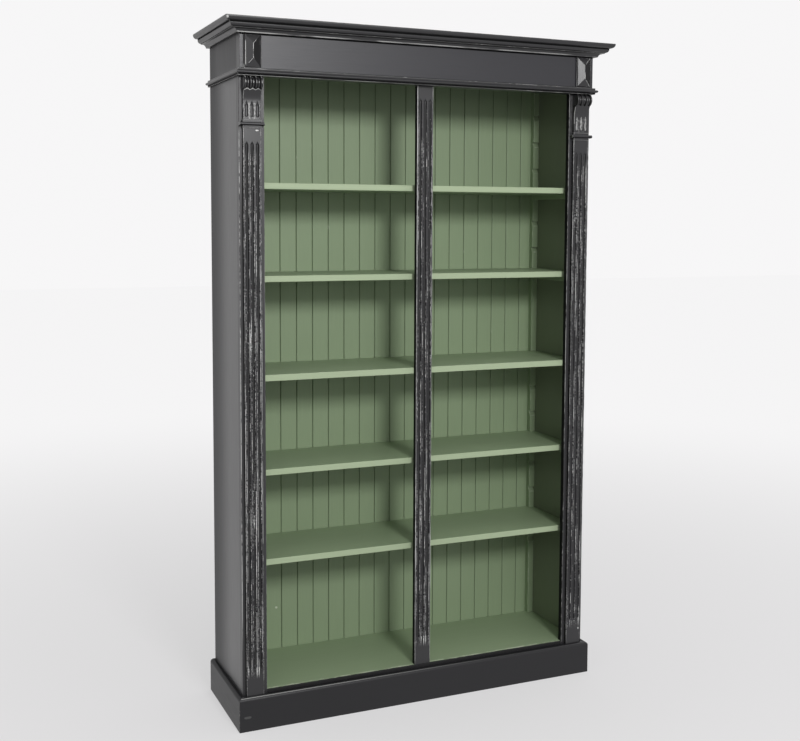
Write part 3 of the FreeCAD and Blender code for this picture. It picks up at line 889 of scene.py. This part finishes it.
special = {
    "side_panel_left": sides,
    "side_panel_right": sides,
    "floor_board": floor_board_paint("floor_board_paint"),
    "back_boards": green_paint("back_boards_paint", ALONG_Z, amount=0.0, arris_line=0.0,
                               chip=((-0.408, 0.1905, 0.2624), (0.004, 0.01, 0.004))),
    "frieze_board": frieze_paint(),
    "crown_front": moulding_paint(
        "crown_front_paint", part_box("crown_front")[0].z, high=0.0032, left_only=0.3, end=0.54,
        chip=((-0.6700, -0.2085, 2.1930), (0.0035, 0.012, 0.004))),
    "architrave_front": moulding_paint(
        "architrave_front_paint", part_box("architrave_front")[0].z, high=0.0036, left_only=0.6,
        end=0.62),
    "collar_left": collar_black,
    "collar_right": collar_black,
    "plinth_front": plinth_paint("plinth_front_paint"),
    "plinth_left": black_paint("plinth_left_paint", ALONG_Y, 0.10, 0.1, shine=0.12),
    "plinth_right": black_paint("plinth_right_paint", ALONG_Y, 0.10, 0.1, shine=0.12),
    "corner_boss_left": boss_paint("left", "corner_boss_left"),
    "corner_boss_right": boss_paint("right", "corner_boss_right"),
    "stile_left": stile_paint("stile_left_paint", -1.0, inner_rim=0.5),
    "stile_right": stile_paint("stile_right_paint", 1.0, inner_rim=0.8),
    "pilaster_left": fluted_paint(
        "pilaster_left_paint", -PILASTER_CENTRE, PILASTER_HALF, flutes_low, flutes_high,
        shift=3.1, spare=0.0, gain=0.01, rim=0.06, flute_shade=1.0,
        chip=((-0.5658, -0.1475, 1.8703), (0.005, 0.01, 0.002))),
    "pilaster_right": fluted_paint(
        "pilaster_right_paint", PILASTER_CENTRE, PILASTER_HALF, flutes_low, flutes_high,
        shift=7.7, spare=0.01, gain=-0.035, rim=0.06, flute_shade=0.3,
        chip=((0.6025, -0.1475, 0.16), (0.002, 0.01, 0.004))),
    "centre_post": fluted_paint(
        "centre_post_paint", 0.0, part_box("centre_post")[1].x, low=0.205, high=1.99,
        shift=12.4, spare=0.03, gain=0.01, rim=0.3, flute_shade=1.0),
}


# Joints that are sunk into pieces, and tests for faces that take the dark matt paint as painted
# shade

open_joints = {
    "frieze_board": open_joint(),
    "corner_plate_left": open_joint("corner_boss_left"),
    "corner_plate_right": open_joint("corner_boss_right"),
}
groove_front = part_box("back_boards")[0].y + 0.0002


def flank(normal, place):
    return abs(normal.x) > 0.9


def boss_right_face(normal, place):
    return normal.x > 0.15


def underside(normal, place):
    return normal.z < -0.5


# Painted shade: flanks, the stiles' inner sides, the bosses' right facets, the collars' undersides
# and the back boards' grooves
matt_places = {
    "pilaster_left": flank,
    "pilaster_right": flank,
    "centre_post": flank,
    "stile_left": lambda normal, place: normal.x > 0.9,
    "stile_right": lambda normal, place: normal.x < -0.9,
    "back_boards": lambda normal, place: groove_front < place.y and normal.y < 0.5,
    "corner_boss_left": boss_right_face,
    "corner_boss_right": boss_right_face,
    "collar_left": underside,
    "collar_right": underside,
}


def dress_green(node, body, grain):
    # Strips, cleats and back boards take dark matt green in hollows and grooves as painted shade
    is_hollow = node.startswith(("strip", "cleat", "back"))
    dressed(node, special.get(node, plain_green[grain]), body,
            recess=green_recess if is_hollow else None, matt=matt_places.get(node))


def dress_black(node, body, grain):
    paints = crest_black if node.startswith(("crown", "architrave")) else plain_black
    is_boss = node.startswith("corner_boss")
    dressed(node, special.get(node, paints[grain]), body,
            turn=BOSS_TURN if is_boss else SHARP_TURN, recess=shaded_facet if is_boss else recess,
            joint=open_joints.get(node), matt=matt_places.get(node))


slots = {part["node"]: part["material_slot"] for part in frame["record"]["subparts"]}
for body, nodes in frame["record"]["behaviour"]["bodies"].items():
    for node in nodes:
        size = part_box(node)[1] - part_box(node)[0]
        grain = ALONG_Z if node == "back_boards" else max(range(3), key=lambda i: size[i])
        if node.startswith("capital"):
            side = -1 if node.endswith("left") else 1
            settled(node + "_carved", capital_mesh(side),
                    [capital_paint(node + "_paint"), recess], body, [node])
        elif slots[node] == "interior_paint":
            dress_green(node, body, grain)
        else:
            dress_black(node, body, grain)


# Stage, light and camera

# Strength of the world as light: everywhere, and added from the right and from above
LIGHT_ROUND = 0.05
LIGHT_RIGHT = 0.14
LIGHT_ABOVE = 0.8

# The floor reaches this far, and takes on the background over the distance of the fade:
# how much of it near the middle, how much more further out, and how much in gloss
FLOOR_REACH = 24.0
FADE_REACH = 6.0
FADE_NEAR = 0.52
FADE_MORE = 0.45
FADE_IN_GLOSS = 0.9

CAMERA_PLACE = (-1.5598, -3.5390, 1.5983)
CAMERA_YAW = math.radians(23.55)
CAMERA_PITCH = math.radians(-4.66)
CAMERA_ROLL = math.radians(0.24)
FOCAL_LENGTH_MM = 51.61
SENSOR_WIDTH_MM = 36.0
LENS_SHIFT = (-0.0035, -0.0698)


def seen_directly(tree):
    """1 for what the camera, a gloss or a glass sees, and 0 for light that lights others."""
    path = tree.nodes.new("ShaderNodeLightPath")
    return greatest(tree, path.outputs["Is Camera Ray"], path.outputs["Is Glossy Ray"],
                    path.outputs["Is Transmission Ray"])


def mixed_surface(tree, output, factor, first, second):
    """Shows the first shader at factor 0 and the second at 1."""
    mix = tree.nodes.new("ShaderNodeMixShader")
    feed(tree, mix.inputs[0], factor)
    tree.links.new(first.outputs[0], mix.inputs[1])
    tree.links.new(second.outputs[0], mix.inputs[2])
    tree.links.new(mix.outputs[0], output.inputs["Surface"])


def white_world():
    """White to the camera and in gloss; as light it is fuller from the right and from above."""
    world = bpy.data.worlds.new("studio")
    bpy.context.scene.world = world
    world.use_nodes = True
    tree = world.node_tree
    tree.nodes.clear()
    output = tree.nodes.new("ShaderNodeOutputWorld")
    light = tree.nodes.new("ShaderNodeBackground")
    direction = tree.nodes.new("ShaderNodeTexCoord")
    split = tree.nodes.new("ShaderNodeSeparateXYZ")
    tree.links.new(direction.outputs["Generated"], split.inputs[0])
    rightward = between(tree, split.outputs[ALONG_X], -0.8, 0.8)
    upward = between(tree, split.outputs[ALONG_Z], 0.3, 0.95)
    strength = sums(tree, "MULTIPLY_ADD", rightward, LIGHT_RIGHT, LIGHT_ROUND)
    strength = sums(tree, "MULTIPLY_ADD", upward, LIGHT_ABOVE, strength)
    feed(tree, light.inputs["Strength"], strength)
    light.inputs["Color"].default_value = (1.0, 1.0, 1.0, 1.0)
    view = tree.nodes.new("ShaderNodeBackground")
    view.inputs["Color"].default_value = (*BACKGROUND, 1.0)
    mixed_surface(tree, output, seen_directly(tree), light, view)


def floor_paint():
    """Pale floor that keeps the shadows and runs out into the background."""
    material = bpy.data.materials.new("studio_floor")
    material.use_nodes = True
    tree = material.node_tree
    tree.nodes.clear()
    output = tree.nodes.new("ShaderNodeOutputMaterial")
    seen = seen_directly(tree)
    lit = tree.nodes.new("ShaderNodeBsdfDiffuse")
    feed(tree, lit.inputs["Color"], blend(tree, seen, FLOOR_BOUNCE, FLOOR))
    far = tree.nodes.new("ShaderNodeEmission")
    far.inputs["Color"].default_value = (*BACKGROUND, 1.0)
    coordinates = tree.nodes.new("ShaderNodeTexCoord")
    distance = vectors(tree, "LENGTH", coordinates.outputs["Object"]).outputs["Value"]
    fade = sums(tree, "MULTIPLY_ADD", between(tree, distance, 0.0, FADE_REACH), FADE_MORE,
                FADE_NEAR)
    glossy = tree.nodes.new("ShaderNodeLightPath").outputs["Is Glossy Ray"]
    factor = greatest(tree, sums(tree, "MULTIPLY", fade, seen),
                      sums(tree, "MULTIPLY", glossy, FADE_IN_GLOSS))
    mixed_surface(tree, output, factor, lit, far)
    return material


def studio_floor():
    mesh = bpy.data.meshes.new("studio_floor")
    rim = FLOOR_REACH
    mesh.from_pydata([(-rim, -rim, 0), (rim, -rim, 0), (rim, rim, 0), (-rim, rim, 0)],
                     [], [(0, 1, 2, 3)])
    mesh.materials.append(floor_paint())
    floor = bpy.data.objects.new("studio_floor", mesh)
    bpy.context.scene.collection.objects.link(floor)


def soft_box(name, place, target, width, height, power):
    """Rectangular light at a place, turned to a target."""
    light = bpy.data.lights.new(name, "AREA")
    light.shape = "RECTANGLE"
    light.size = width
    light.size_y = height
    light.energy = power
    lamp = bpy.data.objects.new(name, light)
    lamp.location = place
    lamp.rotation_euler = (Vector(target) - Vector(place)).to_track_quat("-Z", "Y").to_euler()
    bpy.context.scene.collection.objects.link(lamp)


def photo_camera():
    """Camera at the photograph's place, with its lens and its shift."""
    yaw, pitch, roll = CAMERA_YAW, CAMERA_PITCH, CAMERA_ROLL
    forward = Vector((math.sin(yaw) * math.cos(pitch), math.cos(yaw) * math.cos(pitch),
                      math.sin(pitch)))
    level = Vector((math.cos(yaw), -math.sin(yaw), 0.0))
    upright = level.cross(forward)
    right = math.cos(roll) * level + math.sin(roll) * upright
    up = math.cos(roll) * upright - math.sin(roll) * level
    lens = bpy.data.cameras.new("camera")
    lens.sensor_fit = "HORIZONTAL"
    lens.sensor_width = SENSOR_WIDTH_MM
    lens.lens = FOCAL_LENGTH_MM
    lens.shift_x, lens.shift_y = LENS_SHIFT
    camera = bpy.data.objects.new("camera", lens)
    turn = Matrix((right, up, -forward)).transposed().to_4x4()
    camera.matrix_world = Matrix.Translation(CAMERA_PLACE) @ turn
    bpy.context.scene.collection.objects.link(camera)
    bpy.context.scene.camera = camera


white_world()
studio_floor()
soft_box("key_light", (-0.21, -4.93, 3.16), (0.0, -0.1, 1.2), width=0.85, height=0.85,
         power=122.0)
soft_box("broad_light", (-0.5, -5.2, 3.0), (0.0, -0.1, 1.4), width=3.0, height=2.6,
         power=45.0)
photo_camera()
bpy.context.scene.view_settings.view_transform = "Standard"
